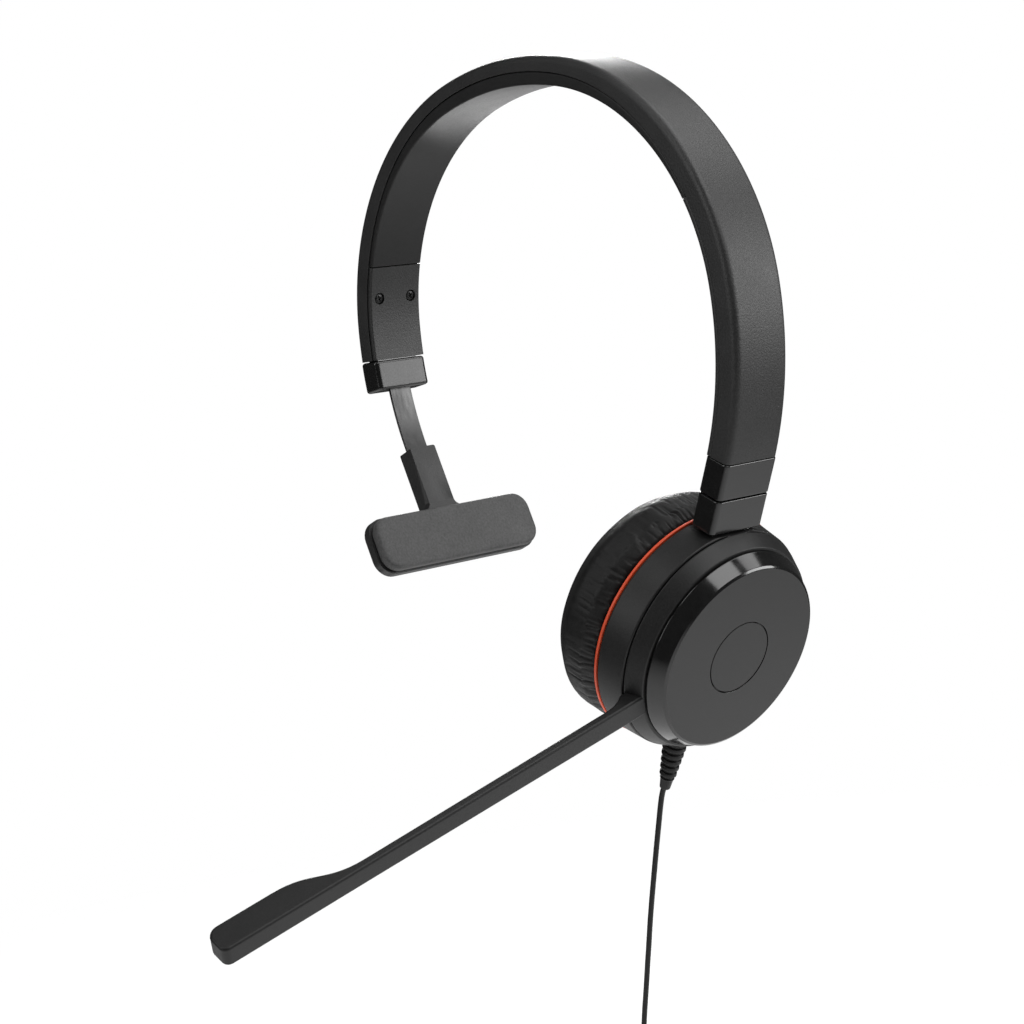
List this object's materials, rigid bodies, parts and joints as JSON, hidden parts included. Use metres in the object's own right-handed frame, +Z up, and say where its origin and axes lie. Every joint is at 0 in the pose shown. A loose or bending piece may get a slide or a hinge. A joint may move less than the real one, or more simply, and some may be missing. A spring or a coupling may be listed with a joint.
{
  "type": "office headset",
  "caption": "One-ear office headset: sprung headband, sliding steel arms to a temple rest and a padded ear cup, swinging microphone boom and a jack cord.",
  "frame": {"origin": "middle of the headband's inner face at its crown, where it rests on the head", "axes": "+X towards the ear-cup side (the wearer's left ear), +Y towards the back of the head (the boom points towards -Y, the wearer's front), +Z up"},
  "size_m": [0.1599, 0.1851, 0.3639],
  "materials": {
    "soft_touch_black": "fine matt soft-touch, near black",
    "band_liner_rubber": "matt",
    "spring_steel": "blued spring steel",
    "slider_steel": "satin grey stainless strip",
    "screw_steel": "black oxide",
    "stop_rubber": "matt",
    "gloss_black": "moulded, glossy sides",
    "cover_disc_satin": "satin",
    "pad_rubber": "finely textured, dark grey",
    "inner_plastic": "moulded",
    "board_green": "solder mask",
    "magnet_steel": "plated",
    "coil_copper": "enamelled copper",
    "diaphragm_film": "thin film",
    "trim_orange": "orange-red",
    "leatherette_black": "fine grain leatherette, wrinkled",
    "scrim_cloth": "thin open cloth",
    "mesh_steel": "black mesh",
    "cord_jacket": "satin jacket",
    "plug_nickel": "nickel plated"
  },
  "bodies": {
    "headband": {"band_outer_shell": "soft_touch_black", "band_spring_steel": "spring_steel", "band_liner": "band_liner_rubber", "inner_plate_left": "soft_touch_black", "inner_plate_right": "soft_touch_black", "plate_screw_left_front": "screw_steel", "plate_screw_left_rear": "screw_steel", "plate_screw_right_front": "screw_steel", "plate_screw_right_rear": "screw_steel", "plate_screw_right_low_front": "screw_steel", "plate_screw_right_low_rear": "screw_steel", "slider_leaf_spring_left": "spring_steel", "slider_leaf_spring_right": "spring_steel", "collar_left": "gloss_black", "collar_right": "gloss_black"},
    "temple_slider": {"slider_strip_left": "slider_steel", "slider_stop_left": "stop_rubber", "temple_arm": "soft_touch_black", "temple_pad": "pad_rubber"},
    "yoke_slider": {"slider_strip_right": "slider_steel", "slider_stop_right": "stop_rubber", "yoke": "soft_touch_black", "yoke_pin": "screw_steel"},
    "ear_cup": {"cup_housing": "soft_touch_black", "boom_friction_washer": "inner_plastic", "cover": "gloss_black", "cover_disc": "cover_disc_satin", "circuit_board": "board_green", "cover_screw_1": "screw_steel", "cover_screw_2": "screw_steel", "cover_screw_3": "screw_steel", "speaker_baffle": "inner_plastic", "speaker_basket": "inner_plastic", "speaker_magnet_cup": "magnet_steel", "speaker_magnet": "magnet_steel", "voice_coil": "coil_copper", "speaker_diaphragm": "diaphragm_film", "trim_ring": "trim_orange", "cushion_plate": "inner_plastic", "ear_cushion": "leatherette_black", "speaker_scrim": "scrim_cloth", "strain_relief": "cord_jacket", "cord": "cord_jacket", "cord_tail": "cord_jacket", "cord_coil": "cord_jacket", "cord_tie": "cord_jacket", "plug_grip": "cord_jacket", "plug_sleeve": "plug_nickel", "plug_ring_lower": "plug_nickel", "plug_ring_upper": "plug_nickel", "plug_tip": "plug_nickel", "plug_insulator": "inner_plastic"},
    "boom": {"boom_ring": "soft_touch_black", "boom_arm": "soft_touch_black", "microphone_pod_cover": "gloss_black", "microphone_mesh": "mesh_steel", "microphone_capsule": "mesh_steel", "microphone_boot": "stop_rubber"}
  },
  "joints": [
    {"name": "temple_slide", "type": "hinge", "parent": "headband", "child": "temple_slider", "pos_m": [0.017, 0, -0.06664], "axis": [0, -1, 0], "range_deg": [-8.8, 7.4]},
    {"name": "cup_slide", "type": "hinge", "parent": "headband", "child": "yoke_slider", "pos_m": [-0.017, 0, -0.06664], "axis": [0, 1, 0], "range_deg": [0, 17.3]},
    {"name": "cup_tilt", "type": "hinge", "parent": "yoke_slider", "child": "ear_cup", "pos_m": [0.06037, 0, -0.12051], "axis": [0, 1, 0], "range_deg": [-7, 7]},
    {"name": "boom_swing", "type": "hinge", "parent": "ear_cup", "child": "boom", "pos_m": [0.0587, 0, -0.15805], "axis": [-0.9027, 0, 0.4304], "range_deg": [-27, 243]}
  ]
}
